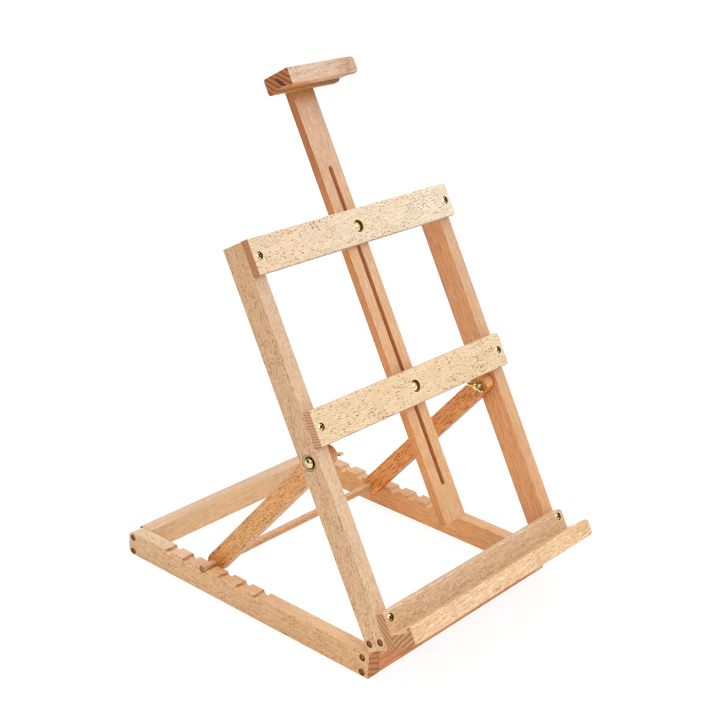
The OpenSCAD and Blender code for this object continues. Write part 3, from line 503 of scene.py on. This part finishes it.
# node: (along, v axis, w axis, origin, other settings)
GRAIN = {
    "base_rail_left": (Y, X, Z, O_BASE, dict(pith=(-290, -300), ring=6.2, flecks=0.85, fleck=(6.0, 1.3, 0.43, 0.44), lines=0.2, quiet=0.6,
                                             slope=(0.02, 0.01), streak=0.55, ripple=0.5, end_rings=1.15, ends=ENDS, shaded_bores=RAIL_PITS, tilt=(0.0, -0.035))),
    "base_rail_right": (Y, X, Z, O_BASE, dict(pith=(320, 240), ring=3.4, flecks=0.4, streak=0.6, ripple=0.3, lines=0.35, quiet=0.8, ends=ENDS,
                                              shaded_bores=RAIL_PITS)),
    "base_rail_front": (X, Y, Z, O_BASE, dict(pith=(-370, 124), ring=3.2, flecks=0.35, ripple=0.6, rings=1.2, tilt=(0.0, -0.05))),
    "base_rail_rear": (X, Y, Z, O_BASE, dict(pith=(330, -230), ring=3.0, flecks=0.3, streak=0.6, ripple=0.3, rings=0.6, quiet=0.75,
                                             joint_shadows=((0, 147.2, 1.7, 0.8),))),
    "post_left": (S, X, D, O_FRAME, dict(pith=(-320, 160), ring=3.2, flecks=0.7, fleck=(5.4, 1.15, 0.43, 0.25), streak=0.65,
                                        ripple=0.35, lines=0.3, quiet=0.65, shaded_bores=POST_PITS, ringed=PIVOT_RING, tilt=(0.0, -0.10))),
    "post_right": (S, X, D, O_FRAME, dict(pith=(400, 150), ring=3.2, flecks=0.35, streak=0.65, ripple=0.3, lines=0.3, quiet=0.75, shaded_bores=POST_PITS, ringed=PIVOT_RING)),
    "frame_bottom_rail": (X, D, S, O_FRAME, dict(pith=(-230, 160), ring=3.2, flecks=0.35)),
    "upper_bar": (X, D, S, O_FRAME, dict(pith=(-20, 1135), ring=2.6, slope=(0.0, 0.012), flecks=0.88, streak=0.5, ripple=0.35, lines=0.12,
                                         fleck=(4.4, 1.5, 0.43, 0.55), underside_shade=0.6, end_rings=0.4, tilt=(0.0, -0.09),
                                         shaded_bores=bar_pits(435.0), marks=STROKES, joint_shadows=((2, 415.3, 1.1, 0.6),))),
    "lower_bar": (X, D, S, O_FRAME, dict(pith=(-40, -400), ring=3.0, slope=(0.0, -0.02), flecks=1.0, streak=0.5, ripple=0.35, lines=0.12,
                                         fleck=(6.2, 1.4, 0.43, 0.50), underside_shade=0.55, end_rings=1.2,
                                         shaded_bores=bar_pits(246.5), joint_shadows=((2, 226.8, 0.9, 0.45),))),
    "tray": (X, D, S, O_FRAME, dict(pith=(400, 200), ring=4.4, slope=(0.004, 0.004), flecks=0.55, fleck=(5.4, 1.15, 0.43, 0.3), lines=0.35,
                                    streak=0.8, ripple=0.5, rings=0.4, end_rings=1.35, underside_shade=0.8, tilt=(0.02, -0.05),
                                    shaded_bores=((156.0, 35.0, 4.6, 42.5, BORE_SHADE),),
                                    board=(42.5, (-126, 364), (1.07, 1.06, 0.98)))),
    "mast": (S, X, D, O_FRAME, dict(pith=(-250, -260), ring=3.0, flecks=0.4, streak=0.6, ripple=0.4, lines=0.25,
                                    warm=(420, 600, (1.0, 0.965, 1.06)))),
    "top_holder": (X, D, S, O_FRAME, dict(pith=(385, 970), ring=5.6, flecks=0.5, fleck=(4.4, 1.2, 0.43, 0.3), streak=0.65, ripple=0.4, lines=0.25,
                                          end_rings=1.7, tilt=(0.0, -0.10),
                                          underside_shade=1.0, underside_shade_tint=(0.86, 0.60, 0.36), check=(53.5, 605.0, 9.0, 3.2, -48), cove_shade=(60.0, 601.0, (0.66, 0.46, 0.24)),
                                          marks=((40, 608, 9.0, 3.0, 60, 0.55, 1.2, (0.85, 0.66, 0.52)),))),
    "leg_left": (LEG, X, LEGW, pivot, dict(pith=(-260, 130), ring=3.0, flecks=0.9, fleck=(7.0, 1.25, 0.43, 0.34), streak=0.7, ripple=0.25, lines=0.5,
                                         warm=(200, 250, (1.0, 0.80, 0.50)), tilt=(0.0, -0.07))),
    "leg_right": (LEG, X, LEGW, pivot, dict(pith=(260, 170), ring=3.0, flecks=0.85, fleck=(7.0, 1.6, 0.44, 0.40), streak=0.9, ripple=0.3, lines=0.75,
                                           warm=(205, 250, (1.0, 0.9, 0.75)))),
    "ratchet_dowel": (X, Y, Z, O_BASE, dict(pith=(360, 160), ring=2.6, flecks=0.25, streak=0.9)),
    "base_pegs": (X, Y, Z, O_BASE, dict(pith=(20, 20), ring=2.2, flecks=0.2, end_rings=0.8, rough=0.65, peg_shadow_crescents=tuple(
        (y, z, 0.8, 0.45) for y in (9.0, 377.0) for z in (5.2, 23.2)))),
    "post_pegs": (X, D, S, O_FRAME, dict(pith=(20, 20), ring=2.2, flecks=0.2, end_rings=0.8, rough=0.65, peg_shadow_crescents=tuple(
        (d, 12.0, -0.8, 0.3) for d in (6.5, 23.0)))),
}


def give(node, mat):
    o = nodes[node]
    o.data.materials.clear()
    o.data.materials.append(mat)


for i, (name, (along, va, wa, origin, opts)) in enumerate(GRAIN.items()):
    opts = dict(opts, cast=CAST.get(name, ()))
    cols = [srgb(*c) for c in PAL[name]]
    give(name, beech("beech_" + name, along, va, wa, origin, *cols, seed=i + 1.0, **opts))

yellow = metal("yellow_zinc", srgb(206, 186, 126), 0.2, srgb(124, 98, 52))
pale = metal("pale_zinc", srgb(228, 210, 144), 0.2, srgb(140, 118, 72))
olive = metal("olive_zinc", srgb(186, 174, 132), 0.16, srgb(96, 82, 52), grit=0.5, scale=500.0)
screw = metal("screw_zinc", srgb(222, 200, 150), 0.2, srgb(150, 120, 70),
              recess_shade=((435.0, 39.75), (246.5, 39.75), (35.0, 41.05)))
steel = metal("bright_zinc", srgb(188, 180, 164), 0.26, srgb(120, 112, 100))
for n in nodes:
    if n in GRAIN:
        continue
    give(n, screw if n == "wood_screws" else pale if n == "clamp_bolts" else olive if n == "pivot_bolts" else steel if n in ("washers", "hinge_pins") else yellow)

# ---------------------------------------------------------------- floor, light, camera
scene.cycles.filter_width = 1.3      # a crisp pixel, like the product shot's


def mesh_object(name, verts, faces):
    me = bpy.data.meshes.new(name)
    me.from_pydata(verts, [], faces)
    me.update()
    o = bpy.data.objects.new(name, me)
    scene.collection.objects.link(o)
    return o


floor = mesh_object("floor", [(-30, -30, 0), (30, -30, 0), (30, 30, 0), (-30, 30, 0)], [(0, 1, 2, 3)])
fm, ft, fb = new_material("floor_white")
floor_seen = ft.n.new("ShaderNodeLightPath").outputs["Is Camera Ray"]
ft.put(fb.inputs["Base Color"], ft.mix(floor_seen, (0.97, 0.97, 0.97), (0.12, 0.12, 0.12)))
fb.inputs["Roughness"].default_value = 0.9
fb.inputs["Specular IOR Level"].default_value = 0.1
fb.inputs["Emission Color"].default_value = (1, 1, 1, 1)
ft.put(fb.inputs["Emission Strength"], ft.math("MULTIPLY_ADD", floor_seen, 0.43, 0.45))
floor.data.materials.append(fm)

world = bpy.data.worlds.new("studio")
scene.world = world
world.use_nodes = True
wt = Tree(world)
bg = next(n for n in wt.n if n.type == "BACKGROUND")
up = wt.n.new("ShaderNodeSeparateXYZ")
wt.put(up.inputs[0], wt.n.new("ShaderNodeTexCoord").outputs["Generated"])
glow = wt.remap(up.outputs[2], 0.0, 0.9, 0.92, 1.3)
# a dark flag low on one side gives the bright metal something to mirror
flag = wt.vec("DOT_PRODUCT", wt.vec("NORMALIZE", wt.combine(up.outputs[0], up.outputs[1], 0.0)), (-0.77, 0.64, 0.0))
flag = wt.mul(wt.remap(flag, 0.55, 0.85), wt.mul(wt.remap(up.outputs[2], -0.02, 0.03), wt.remap(up.outputs[2], 0.5, 0.38)))
glow = wt.mul(glow, wt.math("SUBTRACT", 1.0, wt.mul(flag, 0.9)))
seen = wt.n.new("ShaderNodeLightPath").outputs["Is Camera Ray"]
wt.put(bg.inputs["Color"], wt.mix(seen, wt.combine(glow, glow, glow), (1.11, 1.11, 1.11)))
bg.inputs["Strength"].default_value = 0.90


def softbox(name, place, aim, size, watts):
    light = bpy.data.lights.new(name, "AREA")
    light.shape = "RECTANGLE"
    light.size, light.size_y = size
    light.energy = watts
    o = bpy.data.objects.new(name, light)
    scene.collection.objects.link(o)
    o.location = place
    o.rotation_euler = (Vector(aim) - Vector(place)).to_track_quat("-Z", "Y").to_euler()
    return o


softbox("key", (0.7, -2.0, 2.1), (0, 0, 0.25), (1.1, 1.1), 22)
softbox("fill", (-2.2, -0.4, 1.5), (0, 0, 0.2), (1.0, 1.2), 8)
softbox("top", (-0.2, 0.3, 2.6), (0, 0, 0.2), (1.6, 1.6), 12)

az, el, roll = math.radians(49.947), math.radians(22.182), math.radians(2.428)
F = Vector((math.sin(az) * math.cos(el), math.cos(az) * math.cos(el), -math.sin(el)))
R = Vector((math.cos(az), -math.sin(az), 0))
U = R.cross(F)
R2 = math.cos(roll) * R + math.sin(roll) * U
U2 = -math.sin(roll) * R + math.cos(roll) * U
cam_data = bpy.data.cameras.new("camera")
cam_data.sensor_width = 36
cam_data.lens = 73.375
cam_data.clip_end = 100
cam = bpy.data.objects.new("camera", cam_data)
scene.collection.objects.link(cam)
eye = Vector((-1.19078, -0.83274 + O_FRAME.y, 0.90600))
cam.matrix_world = Matrix((
    (R2.x, U2.x, -F.x, eye.x), (R2.y, U2.y, -F.y, eye.y), (R2.z, U2.z, -F.z, eye.z), (0, 0, 0, 1)))
scene.camera = cam
scene.view_settings.view_transform = "Standard"
